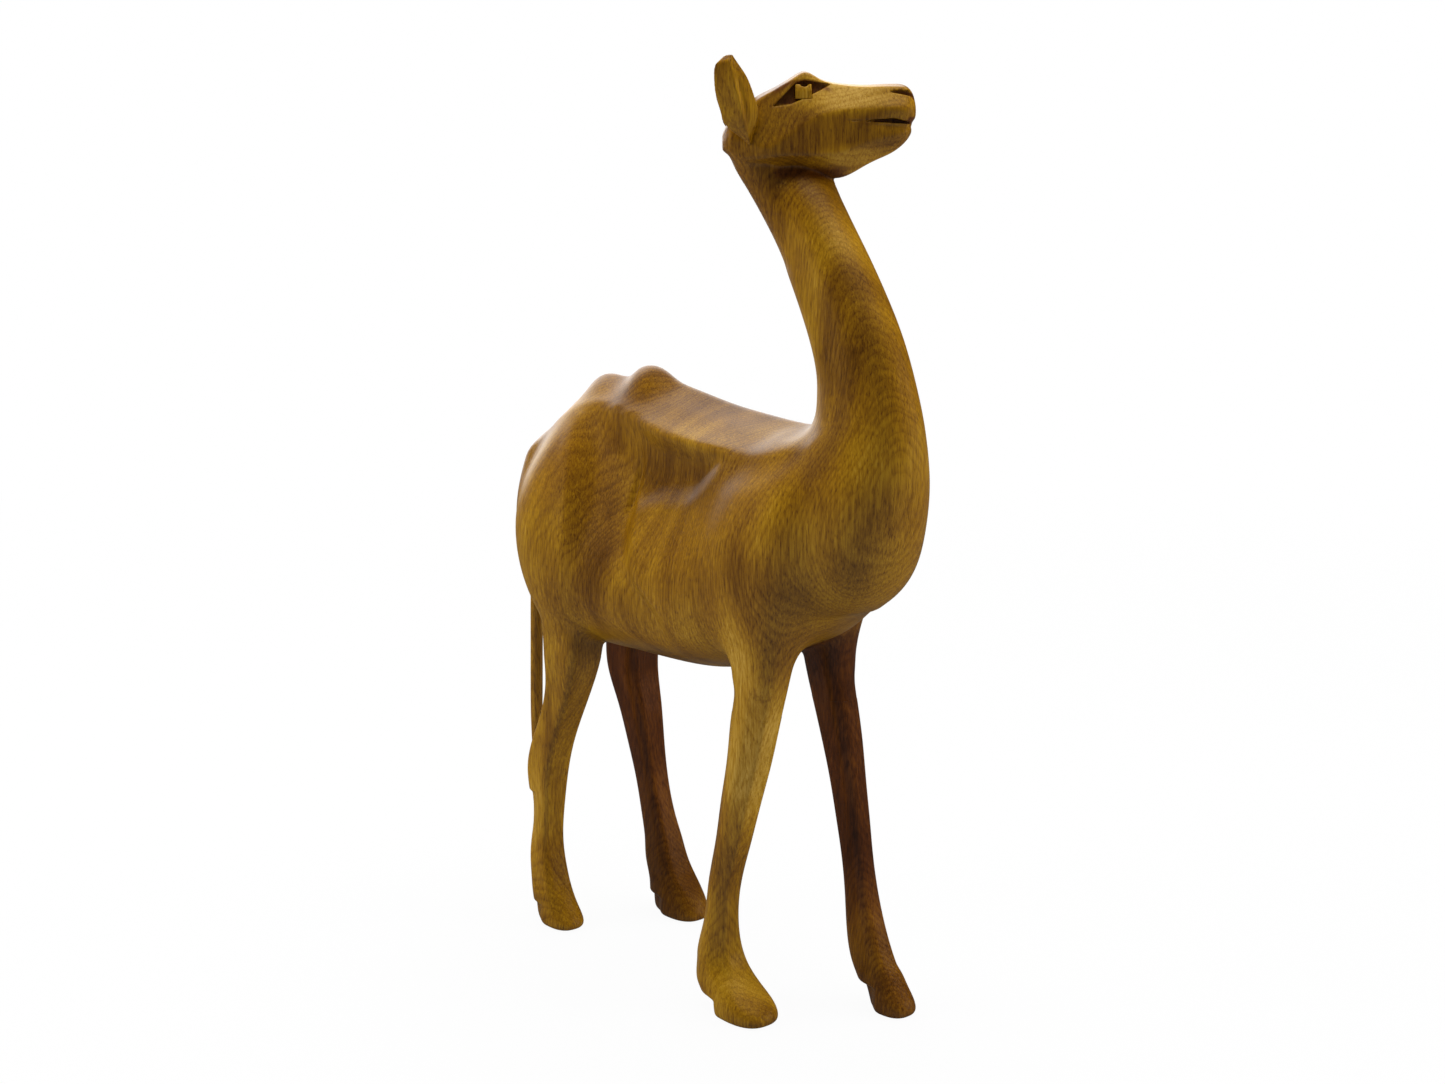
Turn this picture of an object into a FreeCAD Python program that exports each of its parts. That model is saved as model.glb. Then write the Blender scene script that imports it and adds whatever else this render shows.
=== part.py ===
"""Carved wooden giraffe statue, standing, with its head turned to its left.

Frame: millimetres, +X is the way the animal walks, +Y is its left, +Z is up.  The origin is on the
ground in the middle of the statue's box.  The figure is carved over a glued-up blank: the torso
with its neck, a head, two ears, two eyes, a tail and four legs.  Legs and head meet the torso on
flat faces and are pinned with dowels; the ears and the tail have round tenons of their own.
"""
import FreeCAD, Part
import math
import os

V = FreeCAD.Vector

# ---------------------------------------------------------------- driving dimensions (mm)
LEG_JOINT_Z = 100.0          # flat glued face between each leg and the torso
HEAD_JOINT_Z = 262.5         # flat glued face between the neck and the head
HEAD_PIVOT_X = 38.0          # the head turns about this upright line
HEAD_TURN = 50.0             # degrees to the animal's left
LEG_DOWEL = (5.0, 24.0)      # diameter, length
NECK_DOWEL = (8.0, 24.0)
NECK_DOWEL_X = 40.5
EAR_TENON = (3.0, 8.0)
TAIL_TENON = (2.8, 9.0)
GLUE_GAP = 0.05              # radial room round a dowel or tenon
BORE_END_ROOM = 0.3          # room past the end of a dowel or tenon
RING_POINTS = 20             # points round an oval section
LEG_SQUARENESS = 2.6         # superellipse exponents: 2 is an oval, more is boxier
BODY_SQUARENESS = 2.2

# Trunk sections from rump to chest, one per line: x, spine z, belly z, and four points down each
# side as (y, z): edge of the back, flank, widest point, underside.
TRUNK = [
    (-98.5, 158.5, 138.0, (4.0, 155.5), (5.8, 150.0), (5.6, 145.0), (3.6, 140.5)),
    (-96.0, 167.0, 126.5, (8.3, 161.5), (11.2, 152.0), (11.6, 142.0), (7.6, 130.5)),
    (-87.0, 177.0, 115.0, (10.5, 170.5), (15.8, 157.0), (17.8, 143.0), (13.6, 122.0)),
    (-74.0, 186.5, 109.5, (10.5, 179.0), (19.3, 161.5), (23.8, 143.0), (19.0, 118.0)),
    (-58.0, 197.4, 105.5, (9.5, 187.5), (19.5, 166.0), (26.2, 142.0), (21.0, 114.5)),
    (-46.0, 198.0, 104.2, (10.5, 189.0), (18.5, 167.0), (26.0, 140.0), (20.0, 112.0)),
    (-32.0, 202.2, 104.4, (12.0, 189.0), (17.5, 168.0), (26.0, 139.0), (20.0, 111.0)),
    (-13.0, 197.3, 104.8, (15.5, 184.8), (18.0, 169.0), (26.0, 140.0), (20.0, 112.0)),
    (8.0, 193.6, 106.6, (17.0, 182.8), (20.0, 169.0), (26.5, 142.0), (20.0, 113.8)),
    (28.0, 191.5, 112.2, (17.5, 181.6), (22.5, 168.0), (27.0, 147.0), (20.0, 119.5)),
    (46.0, 190.4, 120.5, (16.5, 182.5), (23.0, 170.0), (25.5, 152.0), (17.5, 127.5)),
    (62.0, 191.0, 128.0, (14.5, 186.0), (20.0, 175.0), (21.5, 156.0), (14.5, 134.0)),
    (73.0, 191.0, 136.0, (10.5, 187.0), (15.0, 178.0), (16.5, 160.5), (11.0, 141.0)),
    (80.0, 186.0, 146.0, (6.0, 183.0), (9.5, 176.0), (10.5, 163.0), (7.0, 150.0)),
    (82.8, 180.0, 158.0, (3.0, 178.5), (4.0, 174.0), (4.5, 166.5), (3.0, 160.0)),
]

# Neck sections along its centre line: x, z, half depth, half width.
NECK = [
    (67.6, 150.0, 13.4, 14.6),
    (70.0, 163.0, 16.7, 16.4),
    (71.1, 176.0, 18.4, 16.0),
    (71.2, 190.0, 18.0, 14.0),
    (69.9, 201.0, 16.5, 12.4),
    (66.9, 213.0, 14.7, 11.4),
    (61.6, 225.0, 13.2, 10.7),
    (54.7, 237.0, 12.0, 10.3),
    (46.9, 248.0, 11.7, 10.2),
    (38.9, 258.5, 12.6, 10.7),
    (31.5, 267.5, 12.3, 10.4),
]

# Leg sections from the haunch or shoulder down to the sole: x, y, z, half length, half width.
LEG_FRONT_RIGHT = [
    (50.0, -8.0, 183.0, 6.5, 4.5),
    (47.0, -12.5, 170.0, 13.0, 9.5),
    (44.0, -15.5, 150.0, 16.0, 11.0),
    (42.5, -16.5, 128.0, 13.0, 9.5),
    (42.4, -17.0, 112.0, 9.5, 7.5),
    (39.8, -17.5, 98.0, 8.7, 6.9),
    (37.5, -18.0, 84.5, 7.7, 6.5),
    (34.1, -18.5, 70.0, 6.8, 6.0),
    (31.0, -19.0, 56.0, 6.0, 5.4),
    (27.4, -19.5, 41.0, 5.5, 5.1),
    (26.2, -20.0, 27.0, 6.3, 5.4),
    (27.2, -20.0, 13.4, 9.6, 7.7),
    (32.3, -20.0, 7.7, 11.8, 8.7),
    (37.3, -20.0, 2.2, 12.8, 9.0),
    (37.7, -20.0, 0.0, 12.6, 8.8),
]
LEG_FRONT_LEFT = [
    (50.0, 8.0, 183.0, 6.5, 4.5),
    (47.0, 12.5, 170.0, 13.0, 9.5),
    (43.0, 15.5, 150.0, 16.0, 11.0),
    (38.5, 16.5, 128.0, 11.0, 9.0),
    (37.3, 17.0, 111.0, 8.5, 7.0),
    (40.4, 17.0, 98.5, 7.8, 6.3),
    (43.3, 17.5, 86.0, 7.0, 5.9),
    (45.7, 18.0, 73.0, 6.2, 5.3),
    (48.0, 18.3, 60.0, 5.7, 5.0),
    (50.1, 18.6, 47.0, 5.3, 4.8),
    (52.0, 19.0, 34.5, 5.7, 5.2),
    (55.0, 19.0, 21.8, 7.2, 5.9),
    (58.2, 19.0, 14.0, 8.0, 6.3),
    (62.8, 19.0, 7.0, 8.4, 6.4),
    (65.4, 19.0, 1.8, 8.7, 6.6),
    (65.6, 19.0, 0.0, 8.5, 6.4),
]
LEG_REAR_RIGHT = [
    (-59.0, -6.0, 181.0, 6.0, 4.0),
    (-62.0, -10.5, 168.0, 13.5, 9.0),
    (-64.0, -14.5, 150.0, 20.0, 11.3),
    (-61.5, -16.0, 130.0, 18.0, 10.5),
    (-58.0, -16.5, 114.0, 13.0, 9.0),
    (-57.7, -17.0, 101.0, 11.2, 8.5),
    (-59.6, -17.0, 90.6, 9.4, 7.3),
    (-65.2, -17.2, 76.0, 7.8, 6.5),
    (-69.8, -17.5, 66.0, 8.1, 6.4),
    (-73.3, -17.8, 54.0, 7.9, 6.3),
    (-73.5, -18.4, 42.6, 6.5, 5.4),
    (-73.5, -19.3, 27.0, 6.3, 5.5),
    (-71.5, -20.0, 19.6, 6.8, 5.8),
    (-68.8, -20.5, 12.5, 7.6, 6.2),
    (-65.8, -20.5, 6.0, 9.0, 6.7),
    (-63.0, -20.5, 1.8, 9.8, 6.9),
    (-62.4, -20.5, 0.0, 9.5, 6.6),
]
LEG_REAR_LEFT = [
    (-59.0, 6.0, 181.0, 6.0, 4.0),
    (-62.0, 10.5, 168.0, 13.5, 9.0),
    (-65.0, 14.5, 150.0, 20.0, 11.3),
    (-66.0, 16.0, 130.0, 17.5, 10.5),
    (-67.0, 16.5, 114.0, 12.0, 8.6),
    (-67.6, 17.0, 101.0, 10.6, 8.1),
    (-67.9, 17.0, 90.0, 9.7, 8.1),
    (-63.9, 17.0, 76.0, 8.2, 7.1),
    (-60.8, 17.5, 61.6, 6.9, 6.0),
    (-57.7, 18.0, 47.0, 6.0, 5.3),
    (-54.3, 18.5, 33.0, 6.4, 5.6),
    (-52.6, 19.0, 26.0, 7.1, 6.1),
    (-50.7, 19.0, 19.0, 8.2, 6.7),
    (-46.8, 19.3, 11.0, 10.0, 7.4),
    (-43.2, 19.0, 1.2, 12.2, 8.0),
    (-43.0, 19.0, 0.0, 12.1, 7.9),
]

# Head sections from nape to lips, in the head's own frame: distance forward of the pivot line,
# lowest z, highest z, half width.
HEAD = [
    (-22.0, 271.5, 280.0, 3.0),
    (-19.0, 267.5, 284.5, 8.0),
    (-13.0, 264.0, 288.3, 11.3),
    (-5.0, 262.8, 291.8, 12.6),
    (2.0, 262.8, 295.2, 12.2),
    (9.0, 263.2, 293.0, 10.6),
    (13.5, 264.3, 292.0, 9.6),
    (20.0, 267.4, 292.0, 8.6),
    (28.0, 271.0, 292.0, 7.8),
    (33.0, 273.4, 291.3, 7.0),
    (35.6, 276.5, 288.0, 5.0),
]
# Ear sections from root to tip, head frame: forward, sideways, z, half length, half thickness.
EAR = [
    (-15.0, 9.0, 274.5, 1.2, 1.6),
    (-16.5, 9.8, 279.0, 3.4, 2.6),
    (-18.6, 10.8, 286.0, 5.2, 2.8),
    (-19.8, 11.8, 292.5, 4.8, 2.4),
    (-20.5, 12.5, 297.5, 3.2, 1.8),
    (-20.7, 12.8, 300.0, 1.2, 0.9),
]
EAR_TENON_ROOT = (-17.0, 9.6, 281.5)     # where the tenon leaves the ear, head frame
EAR_TENON_AIM = (0.45, -0.80, -0.40)     # the way it goes into the head, for the left ear

# Eye hollow outline on the side of the head, head frame (forward, z), and the eye block in it.
EYE_HOLLOW = [(-7.2, 285.0), (1.8, 293.6), (10.2, 291.2), (3.0, 286.6)]
EYE_FLOOR = 7.2              # sideways distance of the hollow's floor from the head's middle
EYE_BLOCK = (4.7, 4.2)       # length and height of the carved block
EYE_CENTRE = (1.8, 289.2)
EYE_FACE = 9.6              # sideways distance of the block's face
EYE_SEAT = 5.2               # the block is let this far into the head

MOUTH = (20.5, 281.0, 1.3)   # rear corner, height of the slit, gap
MOUTH_DEPTH = 3.0
NOSTRIL = (29.5, 37.0, 288.6, 1.2)       # rear end, front end, height, gap
NOSTRIL_DEPTH = 2.5

# Tail centre line from its root: x, z, half thickness.
TAIL = [
    (-96.0, 152.0, 2.4),
    (-100.0, 150.5, 2.6),
    (-103.0, 145.0, 2.6),
    (-104.0, 134.0, 2.5),
    (-104.2, 114.0, 2.4),
    (-104.6, 94.0, 2.3),
    (-105.2, 76.0, 2.3),
    (-105.7, 62.0, 2.1),
    (-106.0, 51.5, 1.6),
]
TAIL_TENON_START = (-99.0, 150.6)
TAIL_TENON_AIM = (1.0, 0.0, 0.35)


# ---------------------------------------------------------------- shape helpers
def oval(centre, u_axis, v_axis, half_u, half_v, squareness):
    """Points of a superellipse round centre, in the plane of two unit axes."""
    points = []
    for step in range(RING_POINTS):
        angle = 2.0 * math.pi * step / RING_POINTS
        cosine, sine = math.cos(angle), math.sin(angle)
        u = half_u * math.copysign(abs(cosine) ** (2.0 / squareness), cosine)
        v = half_v * math.copysign(abs(sine) ** (2.0 / squareness), sine)
        points.append(centre + u_axis * u + v_axis * v)
    return points


def loft(rings):
    """A solid skinned over closed rings of points."""
    wires = []
    for ring in rings:
        curve = Part.BSplineCurve()
        curve.interpolate(Points=ring, PeriodicFlag=True)
        wires.append(Part.Wire(curve.toShape()))
    return Part.makeLoft(wires, True, False)


def tube_in_middle_plane(stations):
    """A tube whose centre line lies in the XZ plane: x, z, half depth, half width per station."""
    rings = []
    for index, (x, z, half_depth, half_width) in enumerate(stations):
        before = stations[max(index - 1, 0)]
        after = stations[min(index + 1, len(stations) - 1)]
        along = V(after[0] - before[0], 0, after[1] - before[1]).normalize()
        across = V(along.z, 0, -along.x)
        rings.append(oval(V(x, 0, z), across, V(0, 1, 0), half_depth, half_width, BODY_SQUARENESS))
    return loft(rings)


def slab(z_low, z_high):
    """A block wide enough to hold the whole statue between two heights."""
    reach = 400.0
    return Part.makeBox(reach, reach, z_high - z_low, V(-reach / 2, -reach / 2, z_low))


def dowel_and_bore(diameter, length, centre):
    """An upright dowel about centre, and the hole that takes it."""
    pin = Part.makeCylinder(diameter / 2, length, centre - V(0, 0, length / 2))
    pin = pin.makeChamfer(0.4, [edge for edge in pin.Edges if edge.Curve.TypeId == "Part::GeomCircle"])
    room = length / 2 + BORE_END_ROOM
    bore = Part.makeCylinder(diameter / 2 + GLUE_GAP, 2 * room, centre - V(0, 0, room))
    return pin, bore


def tenon_and_bore(diameter, length, start, aim):
    """A round tenon that runs from start along aim, and the hole that takes it."""
    tenon = Part.makeCylinder(diameter / 2, length, start, aim)
    bore = Part.makeCylinder(diameter / 2 + GLUE_GAP, length + BORE_END_ROOM, start, aim)
    return tenon, bore


def head_frame(shape):
    """Turn and move a shape from the head's own frame to the statue's."""
    placed = shape.copy()
    placed.rotate(V(0, 0, 0), V(0, 0, 1), HEAD_TURN)
    placed.translate(V(HEAD_PIVOT_X, 0, 0))
    return placed


def mirrored(shape):
    """The same shape on the other side of the middle plane."""
    return shape.mirror(V(0, 0, 0), V(0, 1, 0))


# ---------------------------------------------------------------- the carved forms
def trunk():
    rings = []
    for x, spine, belly, *side in TRUNK:
        down_left = [V(x, y, z) for y, z in side]
        up_right = [V(x, -y, z) for y, z in reversed(side)]
        rings.append([V(x, 0, spine)] + down_left + [V(x, 0, belly)] + up_right)
    return loft(rings)


def leg(stations):
    rings = []
    for x, y, z, half_length, half_width in stations:
        rings.append(oval(V(x, y, z), V(1, 0, 0), V(0, 1, 0), half_length, half_width, LEG_SQUARENESS))
    return loft(rings)


def skull():
    """The head's solid in its own frame, before the eyes, mouth and nostrils are cut."""
    rings = []
    for forward, low, high, half_width in HEAD:
        centre = V(forward, 0, (low + high) / 2)
        rings.append(oval(centre, V(0, 1, 0), V(0, 0, 1), half_width, (high - low) / 2, BODY_SQUARENESS))
    return loft(rings)


def side_prism(outline, inner, outer):
    """A block over a (forward, z) outline, from one sideways distance to another."""
    points = [V(forward, inner, z) for forward, z in outline]
    face = Part.Face(Part.makePolygon(points + points[:1]))
    return face.extrude(V(0, outer - inner, 0))


def eye_block():
    """The carved eye on the left side, with the part of it that is let into the head."""
    length, height = EYE_BLOCK
    corner = V(EYE_CENTRE[0] - length / 2, EYE_SEAT, EYE_CENTRE[1] - height / 2)
    block = Part.makeBox(length, EYE_FACE - EYE_SEAT, height, corner)
    rim = [edge for edge in block.Edges if edge.BoundBox.YMin > EYE_FACE - 0.1]
    return block.makeFillet(0.9, rim)


def left_side_cuts():
    """Everything carved into the left side of the head, as one tool."""
    reach = 20.0
    hollow = side_prism(EYE_HOLLOW, EYE_FLOOR, reach)
    length, height = EYE_BLOCK
    corner = V(EYE_CENTRE[0] - length / 2 - GLUE_GAP, EYE_SEAT, EYE_CENTRE[1] - height / 2 - GLUE_GAP)
    seat = Part.makeBox(length + 2 * GLUE_GAP, reach, height + 2 * GLUE_GAP, corner)
    rear, height_z, gap = MOUTH
    lips = Part.makeBox(reach, reach, gap, V(rear, 7.6 - MOUTH_DEPTH, height_z - gap / 2))
    nose_rear, nose_front, nose_z, nose_gap = NOSTRIL
    nostril = Part.makeBox(nose_front - nose_rear, reach, nose_gap,
                           V(nose_rear, 7.0 - NOSTRIL_DEPTH, nose_z - nose_gap / 2))
    return hollow.fuse([seat, lips, nostril])


def ear():
    """The left ear in the head's frame."""
    rings = []
    for forward, sideways, z, half_length, half_thickness in EAR:
        rings.append(oval(V(forward, sideways, z), V(1, 0, 0), V(0, 1, 0),
                          half_length, half_thickness, BODY_SQUARENESS))
    return loft(rings)


def tail():
    return tube_in_middle_plane([(x, z, radius, radius) for x, z, radius in TAIL])


# ---------------------------------------------------------------- the pieces
def build_pieces():
    pieces = {}
    legs = {
        "front_right": LEG_FRONT_RIGHT,
        "front_left": LEG_FRONT_LEFT,
        "rear_right": LEG_REAR_RIGHT,
        "rear_left": LEG_REAR_LEFT,
    }
    leg_forms = {place: leg(stations) for place, stations in legs.items()}
    neck = tube_in_middle_plane(NECK)
    body = trunk().fuse([neck] + list(leg_forms.values()))
    torso = body.common(slab(LEG_JOINT_Z, HEAD_JOINT_Z))

    # legs below the joint, each with its dowel
    for place, form in leg_forms.items():
        section = form.slice(V(0, 0, 1), LEG_JOINT_Z)[0].BoundBox
        centre = V(section.Center.x, section.Center.y, LEG_JOINT_Z)
        pin, bore = dowel_and_bore(*LEG_DOWEL, centre)
        pieces["leg_" + place] = form.common(slab(-1.0, LEG_JOINT_Z)).cut(bore)
        pieces["dowel_" + place] = pin
        torso = torso.cut(bore)

    # head, with the eye hollows, mouth and nostrils of both sides cut
    cuts = left_side_cuts()
    head = head_frame(skull().cut(cuts).cut(mirrored(cuts)))
    head = head.fuse(neck.common(slab(HEAD_JOINT_Z, 300.0))).common(slab(HEAD_JOINT_Z, 320.0))
    pin, bore = dowel_and_bore(*NECK_DOWEL, V(NECK_DOWEL_X, 0, HEAD_JOINT_Z))
    pieces["dowel_neck"] = pin
    torso = torso.cut(bore)
    head = head.cut(bore)

    # ears, coped against the head, with tenons into it
    whole_head = head
    tenon, bore = tenon_and_bore(*EAR_TENON, V(*EAR_TENON_ROOT), V(*EAR_TENON_AIM))
    for side, turn in (("left", lambda shape: shape), ("right", mirrored)):
        outer = head_frame(turn(ear())).cut(whole_head)
        pieces["ear_" + side] = outer.fuse(head_frame(turn(tenon)))
        pieces["eye_" + side] = head_frame(turn(eye_block()))
        head = head.cut(head_frame(turn(bore)))

    # tail, coped against the rump
    start = V(TAIL_TENON_START[0], 0, TAIL_TENON_START[1])
    tenon, bore = tenon_and_bore(*TAIL_TENON, start, V(*TAIL_TENON_AIM))
    pieces["tail"] = tail().cut(torso).fuse(tenon)
    torso = torso.cut(bore)

    pieces["torso"] = torso
    pieces["head"] = head
    return pieces


def largest_solid(shape):
    """Coping can leave a sliver; the piece is the largest solid."""
    return max(shape.Solids, key=lambda solid: solid.Volume)


def main():
    os.makedirs("parts", exist_ok=True)
    pieces = {name: largest_solid(shape) for name, shape in build_pieces().items()}
    box = Part.makeCompound(list(pieces.values())).optimalBoundingBox(True, False)
    to_origin = V(-box.Center.x, -box.Center.y, -box.ZMin)
    for name, shape in pieces.items():
        shape.translate(to_origin)
        shape.exportStep("parts/" + name + ".step")
        print(name, "valid", shape.isValid(), "volume", round(shape.Volume, 1))
    print("box", round(box.XLength, 2), round(box.YLength, 2), round(box.ZLength, 2))
    print("shift", round(to_origin.x, 3), round(to_origin.y, 3), round(to_origin.z, 3))


main()
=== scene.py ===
"""Looks of the carved wooden giraffe statue.

The whole figure is sculpted as distance fields: smooth forms are skinned over a few driving sections
(the same ones that the CAD pieces are skinned over), blended, then faceted, hollowed and notched as a
carver's knife leaves them.  Each glued-up piece is cut out of the figure on its flat joint, is one
closed mesh, and stands for its CAD node.  Design numbers are millimetres in the sculptor's frame:
+X forward, +Y the animal's left, +Z up, ground at zero.
"""

import math

import bmesh
import bpy
import numpy as np
import openvdb
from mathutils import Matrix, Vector


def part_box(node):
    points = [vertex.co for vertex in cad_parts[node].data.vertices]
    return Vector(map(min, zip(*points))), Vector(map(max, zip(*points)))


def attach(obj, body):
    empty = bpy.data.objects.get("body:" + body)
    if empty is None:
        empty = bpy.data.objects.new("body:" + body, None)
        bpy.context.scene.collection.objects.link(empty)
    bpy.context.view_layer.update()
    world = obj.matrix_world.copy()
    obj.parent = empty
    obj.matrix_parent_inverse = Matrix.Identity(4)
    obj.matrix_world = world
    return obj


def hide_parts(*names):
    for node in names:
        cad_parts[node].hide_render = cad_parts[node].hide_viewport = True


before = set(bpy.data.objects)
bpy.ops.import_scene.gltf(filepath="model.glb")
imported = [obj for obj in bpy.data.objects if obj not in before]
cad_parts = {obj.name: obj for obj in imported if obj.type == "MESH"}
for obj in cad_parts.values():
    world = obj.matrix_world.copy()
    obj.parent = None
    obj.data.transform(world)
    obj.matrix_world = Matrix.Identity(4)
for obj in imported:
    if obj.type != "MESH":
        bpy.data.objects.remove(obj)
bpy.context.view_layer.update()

MM = 0.001
LEG_JOINT_Z = 100.0
HEAD_JOINT_Z = 262.5
HEAD_PIVOT_X = 38.0
HEAD_TURN = math.radians(50.0)
TURN_COS = math.cos(HEAD_TURN)
TURN_SIN = math.sin(HEAD_TURN)
NECK_DOWEL_X = 40.5
BORE_ROOM = 0.05            # radial room round a dowel or tenon
BORE_END_ROOM = 0.3
NECK_DOWEL = (4.0, 12.0)    # radius, half length
LEG_DOWEL = (2.5, 12.0)
EAR_TENON = (1.5, 8.0)      # radius, length
TAIL_TENON = (1.4, 9.0)

# Where the sculptor's frame sits in the record's frame, read off the neck dowel.
DOWEL_LOW, DOWEL_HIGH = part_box("dowel_neck")
SHIFT = np.array([(DOWEL_LOW[0] + DOWEL_HIGH[0]) / 2 / MM - NECK_DOWEL_X,
                  (DOWEL_LOW[1] + DOWEL_HIGH[1]) / 2 / MM, 0.0])

BODY_VOXEL = 0.7
LEG_VOXEL = 0.4
HEAD_VOXEL = 0.3
EAR_VOXEL = 0.2
TAIL_VOXEL = 0.3
EYE_VOXEL = 0.1
HEAD_BLEND = 0.9            # fillet between head and neck
RINGS_PER_MM = 0.8          # rings added between sections
RING_POINTS = 96

# Trunk sections from rump to chest, one per line: x, spine z, belly z, and four points down each
# side as (y, z): edge of the back, flank, widest point, underside.
TRUNK = [
    (-98.5, 158.5, 138, (4, 155.5), (5.8, 150), (5.6, 145), (3.6, 140.5)),
    (-96, 167, 126.5, (8.3, 161.5), (11.2, 152), (11.6, 142), (7.6, 130.5)),
    (-87, 178.2, 115, (10.5, 171.7), (15.8, 157), (17.8, 143), (13.6, 122)),
    (-74, 186.8, 109.5, (10.5, 180.2), (19.3, 161.5), (23.8, 143), (19, 118)),
    (-58, 194.2, 105.5, (9.5, 187.5), (19.5, 166), (26.2, 142), (21, 114.5)),
    (-46, 195.9, 104.2, (10.5, 189), (17.5, 167), (26, 140), (20, 112)),
    (-32, 198, 104.4, (13, 188), (16, 168), (26, 139), (20, 111)),
    (-13, 197.1, 104.8, (16.5, 184.5), (16.5, 169), (26, 140), (20, 112)),
    (8, 193.6, 106.6, (18, 182.6), (18.5, 169), (26.5, 142), (20, 113.8)),
    (28, 191.5, 112.2, (18.5, 181.4), (22, 168), (27, 147), (20, 119.5)),
    (46, 190.4, 120.5, (17, 182.5), (23, 170), (25.5, 152), (17.5, 127.5)),
    (62, 191, 128, (14.5, 186), (20, 175), (21.5, 156), (14.5, 134)),
    (73, 191, 136, (10.5, 187), (15, 178), (16.5, 160.5), (11, 141)),
    (80, 186, 146, (6, 183), (9.5, 176), (10.5, 163), (7, 150)),
    (82.8, 180, 158, (3, 178.5), (4, 174), (4.5, 166.5), (3, 160)),
]
# Neck sections along its centre line: x, z, half depth, half width.
NECK = [
    (63.5, 138.5, 9, 10.5),
    (67.6, 150, 13.4, 14.6),
    (70, 163, 16.7, 16.4),
    (71.1, 176, 18.4, 16),
    (71.2, 190, 18, 14),
    (69.9, 201, 16.5, 12.4),
    (66.9, 213, 14.7, 11.4),
    (61.6, 225, 13.2, 10.7),
    (54.7, 237, 12, 10.3),
    (46.9, 248, 11.7, 10.2),
    (38.9, 258.5, 12.4, 10.4),
    (31.8, 267.5, 12, 9.6),
    (26.8, 273.5, 11, 8),
]
# The nape under the back of the head, in the head's frame: forward, sideways, z, half length, half width.
NAPE = [
    (13.5, -22, 208, 5.5, 4.6),
    (9, -17.5, 222, 6, 5.2),
    (5.6, -13, 232, 6.2, 5.6),
    (2.4, -7.5, 243, 7, 6.6),
    (-3, -2, 255, 8, 8),
    (-7.2, 0, 264, 9.4, 8.6),
    (-10.4, 0, 271, 9.4, 8.2),
    (-10.8, 0, 279, 8.5, 7),
]
# Leg sections from the haunch or shoulder down to the sole: x, y, z, half length, half width.
LEG_SECTIONS = {
    "front_right": [
        (50, -8, 183, 6.5, 4.5),
        (47, -12.5, 170, 13, 9.5),
        (44, -15.5, 150, 16, 11),
        (42.5, -16.5, 128, 13, 9.5),
        (42.4, -17, 112, 9.5, 7.5),
        (39.8, -17.5, 98, 8.7, 6.9),
        (37.5, -18, 84.5, 7.7, 6.5),
        (34.1, -18.5, 70, 6.8, 6),
        (31, -19, 56, 6, 5.4),
        (27.4, -19.5, 41, 5.5, 5.1),
        (26.2, -20, 27, 6.3, 5.4),
        (27.2, -20, 13.4, 9.6, 7.7),
        (32.3, -20, 7.7, 11.8, 8.7),
        (37.3, -20, 2.2, 12.8, 9),
        (37.7, -20, 0, 12.6, 8.8),
    ],
    "front_left": [
        (50, 8, 183, 6.5, 4.5),
        (47, 12.5, 170, 13, 9.5),
        (43, 15.5, 150, 16, 11),
        (38.5, 16.5, 128, 11, 9),
        (37.3, 17, 111, 8.5, 7),
        (40.4, 17, 98.5, 7.8, 6.3),
        (43.3, 17.5, 86, 7, 5.9),
        (45.7, 18, 73, 6.2, 5.3),
        (48, 18.3, 60, 5.7, 5),
        (50.1, 18.6, 47, 5.3, 4.8),
        (52, 19, 34.5, 5.7, 5.2),
        (55, 19, 21.8, 7.2, 5.9),
        (58.2, 19, 14, 8, 6.3),
        (62.8, 19, 7, 8.4, 6.4),
        (65.4, 19, 1.8, 8.7, 6.6),
        (65.6, 19, 0, 8.5, 6.4),
    ],
    "rear_right": [
        (-59, -6, 181, 6, 4),
        (-62, -10.5, 168, 13.5, 9),
        (-64, -14.5, 150, 20, 11.3),
        (-61.5, -16, 130, 18, 10.5),
        (-58, -16.5, 114, 13, 9),
        (-57.7, -17, 101, 11.2, 8.5),
        (-59.6, -17, 90.6, 9.4, 7.3),
        (-65.2, -17.2, 76, 7.8, 6.5),
        (-69.8, -17.5, 66, 8.1, 6.4),
        (-73, -17.8, 54, 7.9, 6.3),
        (-72.5, -18.4, 42.6, 6.5, 5.4),
        (-72.3, -19.3, 27, 6.3, 5.5),
        (-70.3, -20, 19.6, 6.8, 5.8),
        (-67.8, -20.5, 12.5, 7.6, 6.2),
        (-65, -20.5, 6, 9, 6.7),
        (-63, -20.5, 1.8, 9.8, 6.9),
        (-62.4, -20.5, 0, 9.5, 6.6),
    ],
    "rear_left": [
        (-59, 6, 181, 6, 4),
        (-62, 10.5, 168, 13.5, 9),
        (-65, 14.5, 150, 20, 11.3),
        (-66, 16, 130, 17.5, 10.5),
        (-67, 16.5, 114, 12, 8.6),
        (-67.6, 17, 101, 10.6, 8.1),
        (-67.9, 17, 90, 9.7, 8.1),
        (-63.9, 17, 76, 8.2, 7.1),
        (-60.8, 17.5, 61.6, 6.9, 6),
        (-57.7, 18, 47, 6, 5.3),
        (-54.3, 18.5, 33, 6.4, 5.6),
        (-52.6, 19, 26, 7.1, 6.1),
        (-50.7, 19, 19, 8.2, 6.7),
        (-46.8, 19.3, 11, 10, 7.4),
        (-43.2, 19, 1.2, 12.2, 8),
        (-43, 19, 0, 12.1, 7.9),
    ],
}
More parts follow.
